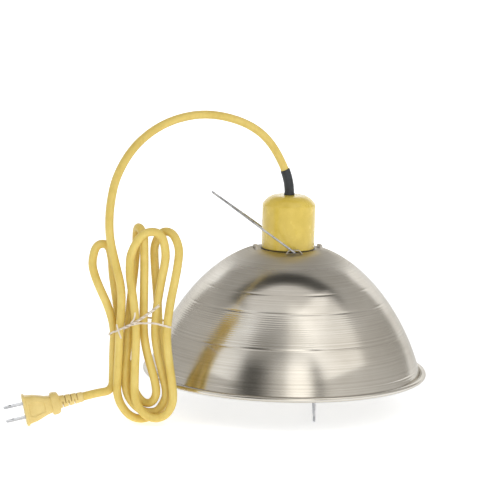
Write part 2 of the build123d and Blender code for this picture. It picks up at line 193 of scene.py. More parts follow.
def cut(obj, cutter):
    """Takes the cutter's shape out of the piece."""
    tool = obj.modifiers.new("cut", "BOOLEAN")
    tool.operation = "DIFFERENCE"
    tool.solver = "EXACT"
    tool.object = cutter
    result = apply_modifiers(obj)
    bpy.data.objects.remove(cutter)
    return result


def block(size, centre):
    """A plain box, to cut with."""
    verts = [
        tuple(c + 0.5 * s * sign for c, s, sign in zip(centre, size, signs))
        for signs in ((x, y, z) for x in (-1, 1) for y in (-1, 1) for z in (-1, 1))
    ]
    faces = [(0, 1, 3, 2), (4, 6, 7, 5), (0, 4, 5, 1), (2, 3, 7, 6), (0, 2, 6, 4), (1, 5, 7, 3)]
    return mesh_object("block", verts, faces, smooth=False)


def softened(name, node, width, segments=2):
    """The CAD node's shape, with its edges rounded as moulding, stamping or turning leaves them."""
    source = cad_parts[node]
    mesh = source.data.copy()
    mesh.transform(source.matrix_world)
    bm = bmesh.new()
    bm.from_mesh(mesh)
    bmesh.ops.remove_doubles(bm, verts=bm.verts, dist=1e-6)
    bmesh.ops.dissolve_limit(
        bm, angle_limit=math.radians(1.0), verts=bm.verts, edges=bm.edges, use_dissolve_boundaries=False
    )
    bm.to_mesh(mesh)
    bm.free()
    obj = link(bpy.data.objects.new(name, mesh))
    bevel = obj.modifiers.new("bevel", "BEVEL")
    bevel.width = width
    bevel.segments = segments
    bevel.limit_method = "ANGLE"
    bevel.angle_limit = math.radians(35)
    bevel.use_clamp_overlap = True
    return crisp(apply_modifiers(obj))


def crisp(obj, angle=40):
    """Smooth shading that keeps true edges sharp."""
    obj.data.shade_smooth()
    obj.data.set_sharp_from_angle(angle=math.radians(angle))
    return obj


def round_bend(start, corner, finish, steps):
    """Points from start to finish along a smooth bend that heads for the corner."""
    shares = [step / steps for step in range(steps + 1)]
    return [start * (1 - t) ** 2 + corner * 2 * t * (1 - t) + finish * t * t for t in shares]


def turned(obj, angle=AXIS_TURN):
    """The piece turned about the lamp axis."""
    obj.data.transform(Matrix.Rotation(angle, 4, "Z"))
    return obj


def bent_wire(name, points, reaches, diameter):
    """A wire with straight runs and round bends. A reach is how far a bend starts from its corner."""
    line = [Vector(points[0])]
    for before, corner, after, reach in zip(points, points[1:], points[2:], reaches):
        corner = Vector(corner)
        line.append(corner + (Vector(before) - corner).normalized() * reach)
        line.append(corner)
        line.append(corner + (Vector(after) - corner).normalized() * reach)
    line.append(Vector(points[-1]))
    return nurbs_curve(name, line, diameter / 2)


def nurbs_points(points):
    """Points along the smooth line that the control points give, evenly spaced."""
    curve = nurbs_curve("measure", points, 0)
    curve.data.resolution_u = 24
    graph = bpy.context.evaluated_depsgraph_get()
    mesh = bpy.data.meshes.new_from_object(curve.evaluated_get(graph))
    line = [v.co.copy() for v in mesh.vertices]
    bpy.data.objects.remove(curve)
    return line


def nurbs_curve(name, points, radius):
    """A round cord or wire whose line is the smooth line of the control points."""
    data = bpy.data.curves.new(name, "CURVE")
    data.dimensions = "3D"
    spline = data.splines.new("NURBS")
    spline.points.add(len(points) - 1)
    for point, place in zip(spline.points, points):
        point.co = (*place, 1)
    spline.order_u = 3
    spline.use_endpoint_u = True
    data.resolution_u = 10
    data.bevel_depth = radius
    data.bevel_resolution = 6
    data.use_fill_caps = True
    return link(bpy.data.objects.new(name, data))


# ---- cord ----
# Control points from the boot's end to the hank, as the part has them.
ARCH_ROUTE = [
    (-0.0049, -0.0013, 0.2219),
    (-0.0143, -0.0038, 0.2438),
    (-0.0380, -0.0150, 0.2655),
    (-0.0760, -0.0360, 0.2770),
    (-0.1115, -0.0570, 0.2715),
    (-0.1395, -0.0760, 0.2530),
    (-0.1565, -0.0920, 0.2255),
    (-0.1615, -0.1030, 0.1980),
    (-0.1615, -0.1050, 0.1720),
]
# The first pass from the top of the hank to its waist.
ENTRY_ROUTE = [
    (-0.1555, -0.1085, 0.1480),
    (-0.1495, -0.1100, 0.1270),
    (-0.1490, -0.1100, 0.1060),
]
# The last pass from the waist to the plug's strain relief.
TAIL_ROUTE = [
    (-0.1555, -0.1000, 0.0860),
    (-0.1565, -0.0985, 0.0660),
    (-0.1563, -0.0985, 0.0465),
    (-0.1563, -0.1027, 0.0302),
    (-0.1710, -0.1073, 0.0285),
    (-0.18226, -0.1100, 0.02564),
]
# Half turns of the hank, which all pass its waist. Each has the x of its foot on the way in, of its two
# sides and of its foot on the way out, the height of its tip, how far the tip leans, and the y at the
# same four places, in mm. Last is how far from the tip its sides are widest, as a share of its width.
HALF_TURNS = [
    (-150.5, -152.2, -106.5, -116.0, 3.9, 0.0, -110, -106, -90, -94, 0.40),
    (-116.0, -121.5, -98.5, -108.5, 176.0, 0.0, -94, -94, -107, -110, 0.50),
    (-108.5, -101.0, -136.5, -135.5, 7.5, 2.0, -110, -110, -111, -110, 0.40),
    (-135.5, -144.0, -112.0, -119.5, 176.7, 5.0, -110, -110, -107, -101, 0.60),
    (-119.5, -108.5, -146.0, -143.0, 11.0, 5.0, -101, -102, -103, -102, 0.40),
    (-143.0, -137.0, -129.5, -129.5, 178.5, -2.0, -102, -88, -104.5, -102.0, 0.36),
    (-129.5, -117.0, -137.5, -152.0, 19.0, 2.0, -102.0, -105, -95, -93, 0.40),
    (-152.0, -159.0, -176.5, -155.5, 163.0, 0.0, -93, -94, -101, -103, 0.80),
]


def half_turn(sizes):
    """Control points of one half turn, from the waist round its tip and back to the waist."""
    foot_in, side_in, side_out, foot_out, tip, lean, *depths, drop = sizes
    deep_in, deep_side_in, deep_side_out, deep_out = depths
    waist = TIE_Z / MM
    up = 1 if tip > waist else -1
    across = side_out - side_in
    along = deep_side_out - deep_side_in
    width = math.hypot(across, along)
    shoulder = tip - up * drop * width
    near = 1 - 0.45 * width / abs(shoulder - waist)
    shares = [0, 0.32, 0.66, near, 1] if near > 0.76 else [0, 0.32, 0.66, 1]
    points = []
    for foot, side, deep, deep_side, leg in (
        (foot_in, side_in, deep_in, deep_side_in, shares),
        (foot_out, side_out, deep_out, deep_side_out, shares[:0:-1]),
    ):
        for share in leg:
            eased = share * share * (3 - 2 * share)
            sway = lean * 0.4 * max(0, share - 0.66) / 0.34
            place = (
                foot + (side - foot) * eased + sway,
                deep + (deep_side - deep) * eased,
                waist + (shoulder - waist) * share,
            )
            points.append(place)
    middle = ((side_in + side_out) / 2 + lean, (deep_side_in + deep_side_out) / 2)
    spread = 0.21 + 0.25 * max(0, drop - 0.40)
    for sign, index in ((-1, len(shares)), (1, len(shares) + 1)):
        points.insert(index, (middle[0] + sign * spread * across, middle[1] + sign * spread * along, tip))
    return [Vector(point) * MM for point in points]


CORD_ROUTE = [Vector(point) for point in ARCH_ROUTE + ENTRY_ROUTE]
for sizes in HALF_TURNS:
    CORD_ROUTE += half_turn(sizes)
CORD_ROUTE += [Vector(point) for point in TAIL_ROUTE]
CORD_LINE = nurbs_points(CORD_ROUTE)


# ---- materials ----
class NodeTree:
    """Short way to write the nodes of a tree."""

    def __init__(self, tree):
        self.tree = tree

    def add(self, kind, **values):
        node = self.tree.nodes.new(kind)
        for key, value in values.items():
            setattr(node, key, value)
        return node

    def join(self, source, target):
        self.tree.links.new(source, target)

    def math(self, kind, *values):
        node = self.add("ShaderNodeMath", operation=kind)
        for socket, value in zip(node.inputs, values):
            if isinstance(value, (int, float)):
                socket.default_value = value
            else:
                self.join(value, socket)
        return node.outputs[0]

    def ramp(self, value, *stops):
        """A colour ramp with (place, colour) stops."""
        node = self.add("ShaderNodeValToRGB")
        self.join(value, node.inputs["Fac"])
        elements = node.color_ramp.elements
        while len(elements) < len(stops):
            elements.new(0.5)
        for element, (place, colour) in zip(elements, stops):
            element.position = place
            element.color = (*colour, 1)
        return node.outputs["Color"]

    def mixed(self, factor, first, second):
        """The first colour where the factor is 0 and the second where it is 1."""
        node = self.add("ShaderNodeMix", data_type="RGBA")
        ends = [socket for socket in node.inputs if socket.type == "RGBA"]
        self.join(factor, node.inputs["Factor"])
        self.join(first, ends[0])
        self.join(second, ends[1])
        return next(socket for socket in node.outputs if socket.type == "RGBA")


class Nodes(NodeTree):
    """Short way to write a material's nodes."""

    def __init__(self, name):
        self.material = bpy.data.materials.new(name)
        self.material.use_nodes = True
        super().__init__(self.material.node_tree)
        self.shader = self.tree.nodes["Principled BSDF"]
        self.place = self.add("ShaderNodeTexCoord").outputs["Object"]

    def set(self, **values):
        """Constant values on the shader's own sockets, with _ for a space in the socket's name."""
        for key, value in values.items():
            self.shader.inputs[key.replace("_", " ")].default_value = value

    def scaled(self, x, y, z):
        node = self.add("ShaderNodeMapping")
        node.inputs["Scale"].default_value = (x, y, z)
        self.join(self.place, node.inputs["Vector"])
        return node.outputs["Vector"]

    def noise(self, vector, scale, detail=3.0, rough=0.55, kind="3D"):
        node = self.add("ShaderNodeTexNoise", noise_dimensions=kind)
        node.inputs["Scale"].default_value = scale
        node.inputs["Detail"].default_value = detail
        node.inputs["Roughness"].default_value = rough
        self.join(vector, node.inputs["W" if kind == "1D" else "Vector"])
        return node.outputs["Fac"]

    def bumps(self, *layers):
        """Each layer is (height, distance in metres, strength)."""
        normal = None
        for height, distance, strength in layers:
            node = self.add("ShaderNodeBump")
            node.inputs["Distance"].default_value = distance
            node.inputs["Strength"].default_value = strength
            self.join(height, node.inputs["Height"])
            if normal:
                self.join(normal, node.inputs["Normal"])
            normal = node.outputs["Normal"]
        self.join(normal, self.shader.inputs["Normal"])


def srgb(red, green, blue):
    """Linear colour from the usual 0 to 255 values."""
    def one(value):
        value /= 255
        return value / 12.92 if value <= 0.04045 else ((value + 0.055) / 1.055) ** 2.4

    return (one(red), one(green), one(blue))


def reflector_aluminium():
    """Spun bright aluminium: fine lines round the axis, soft cloudy tone and a few smears."""
    n = Nodes("reflector_aluminium")
    axes = n.add("ShaderNodeSeparateXYZ")
    n.join(n.place, axes.inputs[0])
    x, y, z = axes.outputs
    radius = n.math("SQRT", n.math("ADD", n.math("MULTIPLY", x, x), n.math("MULTIPLY", y, y)))
    down = n.math("SUBTRACT", radius, z)
    fine = n.noise(down, 2800.0, 2.0, 0.7, "1D")
    broad = n.noise(down, 420.0, 3.0, 0.6, "1D")
    cloud = n.noise(n.scaled(1, 1, 1.6), 14.0, 3.0, 0.5)
    smears = n.noise(n.scaled(1, 1, 3.0), 45.0, 4.0, 0.6)
    by_housing = n.math("MAXIMUM", n.math("MULTIPLY_ADD", radius, -14.0, 0.92), 0.0)
    tone = n.math("ADD", n.math("MULTIPLY", broad, 0.35), n.math("MULTIPLY", cloud, 0.65))
    n.join(
        n.ramp(tone, (0.32, srgb(188, 182, 172)), (0.50, srgb(204, 199, 190)), (0.68, srgb(216, 212, 205))),
        n.shader.inputs["Base Color"],
    )
    rough = n.math("ADD", n.math("MULTIPLY", smears, 0.07), n.math("MULTIPLY", fine, 0.03))
    rough = n.math("ADD", rough, n.math("MINIMUM", by_housing, 0.38))
    n.join(n.math("ADD", rough, 0.10), n.shader.inputs["Roughness"])
    n.set(Metallic=1.0, Anisotropic=0.88, Specular_Tint=(0.66, 0.65, 0.63, 1))
    tangent = n.add("ShaderNodeTangent", direction_type="RADIAL", axis="Z")
    n.join(tangent.outputs[0], n.shader.inputs["Tangent"])
    n.bumps((broad, 0.00003, 0.06), (fine, 0.00001, 0.10), (cloud, 0.0010, 0.05))
    return n.material


def plastic(name, light, dark, rough, coat, grain):
    """Moulded plastic with slight mottling and a fine moulded grain."""
    n = Nodes(name)
    cloud = n.noise(n.place, 60.0, 4.0, 0.6)
    speck = n.noise(n.place, 1500.0, 2.0, 0.6)
    tone = n.math("ADD", n.math("MULTIPLY", cloud, 0.75), n.math("MULTIPLY", speck, 0.25))
    n.join(n.ramp(tone, (0.32, dark), (0.60, light)), n.shader.inputs["Base Color"])
    n.join(n.math("ADD", n.math("MULTIPLY", cloud, 0.16), rough - 0.08), n.shader.inputs["Roughness"])
    n.set(Coat_Weight=coat, Coat_Roughness=0.12, IOR=1.49)
    n.bumps((cloud, 0.0006, 0.10), (speck, 0.00005, grain))
    return n.material


def housing_plastic():
    return plastic("housing_plastic", srgb(230, 203, 90), srgb(212, 184, 72), 0.26, 0.30, 0.15)


def plug_plastic():
    return plastic("plug_plastic", srgb(231, 207, 134), srgb(218, 191, 114), 0.42, 0.15, 0.45)


def cord_jacket():
    """Yellow vinyl jacket, matt, with scuffs and the faint lay of the conductors under it."""
    n = Nodes("cord_jacket")
    cloud = n.noise(n.place, 38.0, 4.0, 0.6)
    speck = n.noise(n.place, 1100.0, 3.0, 0.65)
    scuff = n.noise(n.scaled(1, 1, 0.25), 420.0, 4.0, 0.7)
    tone = n.math("ADD", n.math("MULTIPLY", cloud, 0.7), n.math("MULTIPLY", scuff, 0.3))
    n.join(
        n.ramp(tone, (0.30, srgb(210, 181, 84)), (0.52, srgb(226, 200, 108)), (0.72, srgb(234, 211, 124))),
        n.shader.inputs["Base Color"],
    )
    n.join(n.math("ADD", n.math("MULTIPLY", scuff, 0.22), 0.34), n.shader.inputs["Roughness"])
    n.set(IOR=1.5, Coat_Weight=0.08, Coat_Roughness=0.25, Subsurface_Weight=0.03)
    n.bumps((cloud, 0.0008, 0.18), (speck, 0.00006, 0.5))
    return n.material


def rubber(name, light, dark, grain):
    n = Nodes(name)
    cloud = n.noise(n.place, 110.0, 4.0, 0.6)
    speck = n.noise(n.place, 1600.0, 3.0, 0.7)
    n.join(n.ramp(cloud, (0.35, dark), (0.65, light)), n.shader.inputs["Base Color"])
    n.join(n.math("ADD", n.math("MULTIPLY", speck, 0.20), 0.36), n.shader.inputs["Roughness"])
    n.set(IOR=1.5)
    n.bumps((cloud, 0.0006, 0.15), (speck, 0.00006, grain))
    return n.material


def boot_rubber():
    return rubber("boot_rubber", srgb(52, 56, 62), srgb(26, 28, 32), 0.6)


def gasket_rubber():
    return rubber("gasket_rubber", srgb(70, 58, 46), srgb(40, 33, 27), 0.5)


def conductor_black():
    return rubber("conductor_black", srgb(40, 40, 42), srgb(22, 22, 24), 0.3)


def conductor_white():
    return rubber("conductor_white", srgb(226, 224, 216), srgb(204, 201, 190), 0.3)


def porcelain():
    """Glazed white porcelain with a faint orange-peel glaze and a few iron specks."""
    n = Nodes("porcelain")
    cloud = n.noise(n.place, 90.0, 3.0, 0.5)
    speck = n.noise(n.place, 900.0, 2.0, 0.5)
    tone = n.math("ADD", n.math("MULTIPLY", cloud, 0.35), n.math("MULTIPLY", speck, 0.65))
    n.join(
        n.ramp(tone, (0.27, srgb(150, 140, 125)), (0.33, srgb(228, 226, 218)), (0.60, srgb(240, 239, 233))),
        n.shader.inputs["Base Color"],
    )
    n.join(n.math("ADD", n.math("MULTIPLY", cloud, 0.12), 0.10), n.shader.inputs["Roughness"])
    n.set(Coat_Weight=0.6, Coat_Roughness=0.05, IOR=1.52)
    n.bumps((cloud, 0.0005, 0.12),)
    return n.material


def metal(name, light, dark, rough, streak=(1, 1, 1), scale=200.0):
    """Drawn or stamped metal with light tarnish and fine scratches along one way."""
    n = Nodes(name)
    cloud = n.noise(n.place, 120.0, 5.0, 0.65)
    lines = n.noise(n.scaled(*streak), scale, 4.0, 0.7)
    n.join(n.ramp(cloud, (0.32, dark), (0.62, light)), n.shader.inputs["Base Color"])
    wear = n.math("ADD", n.math("MULTIPLY", cloud, 0.18), n.math("MULTIPLY", lines, 0.14))
    n.join(n.math("ADD", wear, rough - 0.12), n.shader.inputs["Roughness"])
    n.set(Metallic=1.0)
    n.bumps((lines, 0.00004, 0.25), (cloud, 0.0001, 0.10))
    return n.material


def brass_parts():
    return metal("brass_parts", srgb(226, 190, 112), srgb(178, 138, 70), 0.24, (1, 1, 7), 260.0)


def plated_steel():
    return metal("plated_steel", srgb(196, 197, 200), srgb(152, 153, 157), 0.24, (1, 4, 1), 320.0)


def tie_paper():
    """Off-white paper of a twist tie, with fibres and soft creases."""
    n = Nodes("tie_paper")
    cloud = n.noise(n.place, 260.0, 4.0, 0.7)
    fibre = n.noise(n.scaled(1, 6, 6), 700.0, 3.0, 0.7)
    tone = n.math("ADD", n.math("MULTIPLY", cloud, 0.6), n.math("MULTIPLY", fibre, 0.4))
    n.join(
        n.ramp(tone, (0.30, srgb(205, 188, 170)), (0.62, srgb(240, 232, 220))),
        n.shader.inputs["Base Color"],
    )
    n.set(Roughness=0.75)
    n.bumps((fibre, 0.0001, 0.6), (cloud, 0.0003, 0.3))
    return n.material


MATERIALS = {
    make.__name__: make()
    for make in (
        reflector_aluminium,
        housing_plastic,
        gasket_rubber,
        porcelain,
        brass_parts,
        plated_steel,
        boot_rubber,
        cord_jacket,
        conductor_black,
        conductor_white,
        plug_plastic,
        tie_paper,
    )
}


# ---- floor, backdrop and light ----
def make_sweep():
    """A pale floor that curves up into a backdrop."""
    width, front, back, top, curve_r = 7.4, -3.6, 4.2, 3.5, 1.3
    line = [(front, 0.0), (back - curve_r, 0.0)]
    for step in range(1, 17):
        angle = math.pi / 2 * step / 16
        line.append((back - curve_r + curve_r * math.sin(angle), curve_r * (1 - math.cos(angle))))
    line.append((back, top))
    verts = [(side * width / 2, y, z) for y, z in line for side in (-1, 1)]
    faces = [(2 * i, 2 * i + 1, 2 * i + 3, 2 * i + 2) for i in range(len(line) - 1)]
    sweep = mesh_object("studio_sweep", verts, faces)
    paper = Nodes("studio_paper")
    paper.set(Base_Color=(0.9, 0.905, 0.915, 1), Roughness=0.9, Emission_Color=(0.97, 0.985, 1, 1))
    paper.set(Emission_Strength=0.62)
    sweep.data.materials.append(paper.material)


def area_light(name, place, target, size, power, colour=(1, 1, 1)):
    """A soft rectangular light that faces a target."""
    data = bpy.data.lights.new(name, "AREA")
    data.shape = "RECTANGLE"
    data.size, data.size_y = size
    data.energy = power
    data.color = colour
    light = link(bpy.data.objects.new(name, data))
    light.location = place
    light.rotation_mode = "QUATERNION"
    light.rotation_quaternion = (Vector(target) - Vector(place)).to_track_quat("-Z", "Y")


def greys(*stops):
    """Colour stops from neutral (place, value) stops."""
    return [(at, (value, value, value)) for at, value in stops]


def warm_greys(*stops):
    """Colour stops from (place, value) stops, tinted as warm as the room."""
    return [(at, (value * 1.02, value, value * 0.955)) for at, value in stops]


def make_room():
    """The room that the metal mirrors: panels and gaps round the horizon, and a dark gap overhead."""
    world = bpy.data.worlds.new("studio")
    bpy.context.scene.world = world
    world.use_nodes = True
    n = NodeTree(world.node_tree)
    axes = n.add("ShaderNodeSeparateXYZ")
    n.join(n.add("ShaderNodeTexCoord").outputs["Generated"], axes.inputs[0])
    x, y, z = axes.outputs
    front = n.math("MULTIPLY", y, -1.0)
    share = n.math("MULTIPLY_ADD", n.math("ARCTAN2", x, front), 1 / (2 * math.pi), 0.5)
    over = n.math("MULTIPLY", n.math("ARCTAN2", z, front), 1 / math.pi)
    low_room = n.ramp(
        share,
        *warm_greys(
            (0.0, 0.60), (0.15, 0.78), (0.355, 0.90), (0.378, 0.55), (0.395, 0.12), (0.432, 0.12),
            (0.457, 0.45), (0.476, 1.00), (0.497, 0.85), (0.512, 2.40), (0.560, 2.40), (0.572, 0.25),
            (0.588, 0.25), (0.60, 1.15), (0.645, 1.05), (0.75, 0.85), (0.85, 0.75), (1.0, 0.60),
        ),
    )
    high_room = n.ramp(
        share,
        *warm_greys(
            (0.0, 0.50), (0.15, 0.60), (0.27, 0.66), (0.37, 0.60), (0.45, 0.52), (0.50, 0.66),
            (0.52, 1.50), (0.58, 1.50), (0.63, 0.85), (0.72, 0.78), (0.85, 0.66), (1.0, 0.50),
        ),
    )
    ceiling = n.ramp(
        over,
        *warm_greys((0.0, 0.60), (0.48, 0.60), (0.505, 0.10), (0.55, 0.10), (0.58, 0.66), (1.0, 0.60)),
    )
    lifted = n.ramp(z, *greys((0.0, 0), (0.52, 0), (0.66, 1), (1.0, 1)))
    raised = n.math(
        "MULTIPLY",
        n.ramp(z, *greys((0.0, 0), (0.70, 0), (0.80, 1), (1.0, 1))),
        n.ramp(over, *greys((0.0, 0), (0.34, 0), (0.42, 1), (1.0, 1))),
    )
    background = n.tree.nodes["Background"]
    n.join(n.mixed(raised, n.mixed(lifted, low_room, high_room), ceiling), background.inputs["Color"])
    background.inputs["Strength"].default_value = 0.75


make_sweep()
area_light("key_light", (1.5, -1.0, 1.9), (0, 0, 0.1), (2.0, 2.0), 7.0, (1.0, 0.985, 0.96))
area_light("left_light", (-1.7, -0.9, 1.5), (-0.05, 0, 0.1), (1.5, 1.5), 3.4, (0.96, 0.98, 1.0))
area_light("top_light", (0, -0.7, 2.4), (0, 0, 0.1), (3.0, 1.0), 4.0)
make_room()
bpy.context.scene.view_settings.view_transform = "Standard"


# ---- reflector ----
BOWL_FOOT_R = 0.127
BOWL_APEX = 0.121
BOWL_HEIGHT_POWER = 1.3
BOWL_RADIUS_POWER = 0.458


def bowl_radius(height):
    return BOWL_FOOT_R * (1 - (max(height, 0) / BOWL_APEX) ** BOWL_HEIGHT_POWER) ** BOWL_RADIUS_POWER


def spun_relief(height):
    """How far the spinning tool left the outside in (-) or out (+) of the plain bowl at a height."""
    relief = 0.0
    if 0.0405 < height < 0.070:
        edge = min((height - 0.0405) / 0.004, (0.070 - height) / 0.004, 1)
        relief += 0.00004 * edge * math.cos(2 * math.pi * (height - 0.0405) / 0.00175)
    for ring, depth in ((0.0405, 0.00022), (0.070, 0.00018), (0.085, 0.00009), (0.0065, 0.00010)):
        relief -= depth * math.exp(-(((height - ring) / 0.0007) ** 2))
    return relief


def make_shade():
    """The spun bowl with its rolled rim and its flat crown."""
    step, top = 0.00035, 0.1130
    heights = [0.0042 + step * i for i in range(int((top - 0.0042) / step) + 1)]
    outside = []
    for height in heights:
        slope = (bowl_radius(height + 1e-5) - bowl_radius(height)) / 1e-5
        normal = Vector((1, -slope)).normalized()
        outside.append(Vector((bowl_radius(height), RIM_Z + height)) + normal * spun_relief(height))
    start = outside[-1]
    fall = (bowl_radius(heights[-1]) - bowl_radius(heights[-1] - 1e-5)) / 1e-5
    corner = Vector((start.x + fall * (CROWN_Z - start.y), CROWN_Z))
    flat = Vector((0.0272, CROWN_Z))
    shoulder = round_bend(start, corner, flat, 16)[1:]
    crown = [Vector((radius, CROWN_Z)) for radius in (0.0220, NECK_HOLE_R)]
    flare = [Vector((BOWL_FOOT_R + 0.0001, RIM_Z + 0.0022)), Vector((BOWL_FOOT_R + 0.0003, RIM_Z + 0.0010)),
             Vector((BOWL_FOOT_R + 0.0009, RIM_Z + 0.0003))]
    roll = [
        Vector((BEAD_RING_R + BEAD_R * math.cos(a), RIM_Z + BEAD_R * math.sin(a)))
        for a in (math.radians(176 - 17 * k) for k in range(20))
    ]
    outer = list(reversed(outside + shoulder + crown)) + flare + roll
    inner = []
    for i, point in enumerate(outer):
        before, after = outer[max(i - 1, 0)], outer[min(i + 1, len(outer) - 1)]
        along = (after - before).normalized()
        inner.append(point + Vector((along.y, -along.x)) * SHEET)
    profile = [(p.x, p.y) for p in outer + list(reversed(inner))]
    return lathe("shade", profile, 200)


def make_bridge():
    """A strip lanced up out of the crown, for the hanger's pin to turn under."""
    width, sheet = 0.0028, 0.0008
    line = [(-0.0078, -0.0008, 0), (-0.0050, 0.0032, 0.0018), (0.0050, 0.0032, 0.0018), (0.0078, -0.0008, 0)]
    middle = outline(*line, steps=6)
    rings = []
    for i, (x, z) in enumerate(middle):
        before, after = middle[max(i - 1, 0)], middle[min(i + 1, len(middle) - 1)]
        along = Vector((after[0] - before[0], 0, after[1] - before[1])).normalized()
        up = Vector((-along.z, 0, along.x))
        corners = outline(
            (-width / 2, -sheet / 2, 0.00025), (width / 2, -sheet / 2, 0.00025),
            (width / 2, sheet / 2, 0.00025), (-width / 2, sheet / 2, 0.00025), steps=3,
        )
        rings.append([Vector((x, -0.0305, CROWN_Z + z)) + Vector((0, u, 0)) + up * v for u, v in corners])
    return tube("bridge", rings)


def make_reflector():
    """The spun bowl with its lanced openings and bridges."""
    cutters, bridges = [], []
    for quarter in range(4):
        angle = AXIS_TURN + quarter * math.pi / 2
        cutters.append(turned(block((0.0126, 0.0031, 0.006), (0, -0.0305, CROWN_Z)), angle))
        bridges.append(turned(make_bridge(), angle))
    shade = cut(make_shade(), joined("cutters", *cutters))
    return crisp(joined("shade", shade, *bridges))


finish_piece(make_reflector(), "lamp", "reflector_aluminium", "reflector")


# ---- socket housing ----
def make_housing():
    """The moulded cap: straight side, sloping shoulder, flat top, and two bosses for its screws inside."""
    top, seat, wall = HOUSING_TOP_Z, SEAT_Z, 0.0016
    shell = lathe(
        "shell",
        outline(
            (HOUSING_R - 0.0002, seat, 0.0004),
            (HOUSING_R, top - 0.0090, 0.0006),
            (HOUSING_R - 0.0005, top - 0.0080, 0.0008),
            (0.0208, top - 0.0035, 0.0042),
            (0.0150, top - 0.0001, 0.0040),
            (0.0046, top, 0.0003),
            (0.0046, top - wall, 0),
            (0.0146, top - wall, 0.0020),
            (HOUSING_R - wall - 0.0006, top - 0.0088, 0.0010),
            (HOUSING_R - wall, seat, 0.0003),
            steps=6,
        ),
        160,
    )
    bosses = []
    for side in (-1, 1):
        low, high = seat + 0.0051, top - 0.0076
        edge = outline((0.0029, low, 0.0003), (0.0029, high, 0), (0.00175, high, 0), (0.00175, low, 0))
        boss = lathe("boss", edge, 32)
        boss.data.transform(Matrix.Translation((side * 0.0202, 0, 0)))
        bosses.append(turned(boss))
    return crisp(joined("housing", shell, *bosses))


finish_piece(make_housing(), "lamp", "housing_plastic", "socket_housing")


def make_gasket():
    """A thin seal that bulges out a little all round, by an uneven amount."""

    def edge(angle):
        bulge = 0.00016 * noise.noise(Vector((3 * math.cos(angle), 3 * math.sin(angle), 4)))
        outside = 0.02522 + bulge
        return outline(
            (outside, CROWN_Z, 0.0003),
            (outside + 0.0002, (CROWN_Z + SEAT_Z) / 2, 0.0002),
            (outside, SEAT_Z, 0.0003),
            (NECK_HOLE_R, SEAT_Z, 0), (NECK_HOLE_R, CROWN_Z, 0), steps=3,
        )

    return lathe("gasket", edge, 144)


finish_piece(make_gasket(), "lamp", "gasket_rubber", "housing_gasket")


# ---- lampholder ----
def make_screw_shell():
    """The rolled brass shell for a medium bulb base, a thin wall in the shape of its thread."""
    low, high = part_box("screw_shell")[0].z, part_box("screw_shell")[1].z
    pitch, depth, wall, rows = 0.00363, 0.00042, 0.00035, 120

    def wave(angle):
        line = []
        for i in range(rows + 1):
            z = low + (high - wall - low) * i / rows
            fade = min(1, (z - low) / 0.0025, (high - wall - z) / 0.0015)
            wave = math.cos(2 * math.pi * (z - low) / pitch - angle)
            line.append((0.01312 + depth * max(fade, 0) * wave, z))
        inside = [(radius - wall, z) for radius, z in reversed(line)]
        return line + [(0.0128, high), (0.0080, high), (0.0080, high - wall)] + inside

    return crisp(lathe("screw_shell_rolled", wave, 96), 50)


finish_piece(make_screw_shell(), "lamp", "brass_parts", "screw_shell")

for node, width, body, slot in (
    ("porcelain_body", 0.00050, "lamp", "porcelain"),
    ("contact_foot", 0.00008, "lamp", "brass_parts"),
    ("centre_contact", 0.00010, "contact", "brass_parts"),
    ("contact_rivet", 0.00025, "lamp", "brass_parts"),
    ("shell_rivet", 0.00025, "lamp", "brass_parts"),
    ("line_terminal", 0.00012, "lamp", "brass_parts"),
    ("neutral_terminal", 0.00012, "lamp", "brass_parts"),
    ("terminal_screws", 0.00020, "lamp", "plated_steel"),
    ("mounting_screws", 0.00035, "lamp", "plated_steel"),
):
    finish_piece(softened(f"{node}_soft", node, width), body, slot, node)


# ---- boot and cord clamp ----
BOOT_BEND_R = 0.0245 / math.radians(24.0)
BOOT_HEADING = math.radians(195.0)


def boot_ring(along, radius, count=40):
    """A ring of points about the boot's bent line, along metres from the housing's top."""
    out = Vector((math.cos(BOOT_HEADING), math.sin(BOOT_HEADING), 0))
    across = Vector((-out.y, out.x, 0))
    turn = max(along, 0) / BOOT_BEND_R
    centre = Vector((0, 0, HOUSING_TOP_Z + min(along, 0))) + out * BOOT_BEND_R * (1 - math.cos(turn))
    centre.z += BOOT_BEND_R * math.sin(turn)
    sideways = out * math.cos(turn) - Vector((0, 0, math.sin(turn)))
    angles = (2 * math.pi * i / count for i in range(count))
    return [centre + radius * (sideways * math.cos(a) + across * math.sin(a)) for a in angles]


def make_boot():
    """Rubber boot: a flange in the housing, a small roll where it leaves the top, and a lip at its end."""
    outside = [(-0.0036, 0.0071), (-0.0034, 0.0075), (-0.0018, 0.0075), (-0.00165, 0.0072), (-0.0016, 0.0046),
               (-0.0001, 0.0045), (0.0001, 0.0048), (0.0006, 0.0050), (0.0013, 0.0049), (0.0020, 0.0046)]
    outside += [(0.0030 + 0.0015 * i, 0.00450 + 0.00004 * math.sin(i * 2.1)) for i in range(14)]
    outside += [(0.0240, 0.00446), (0.0243, 0.0043), (0.0245, 0.00405)]
    inside = [(0.0243, 0.00386), (0.0236, 0.00382)] + [(0.022 - 0.002 * i, 0.00382) for i in range(13)]
    rings = [boot_ring(along, radius) for along, radius in outside + inside]
    size, count = len(rings[0]), len(rings)
    verts = [point for ring in rings for point in ring]
    faces = []
    for row in range(count):
        here, there = row * size, (row + 1) % count * size
        for i in range(size):
            j = (i + 1) % size
            faces.append((here + i, here + j, there + j, there + i))
    return crisp(mesh_object("boot", verts, faces), 55)


finish_piece(make_boot(), "lamp", "boot_rubber", "cord_boot")


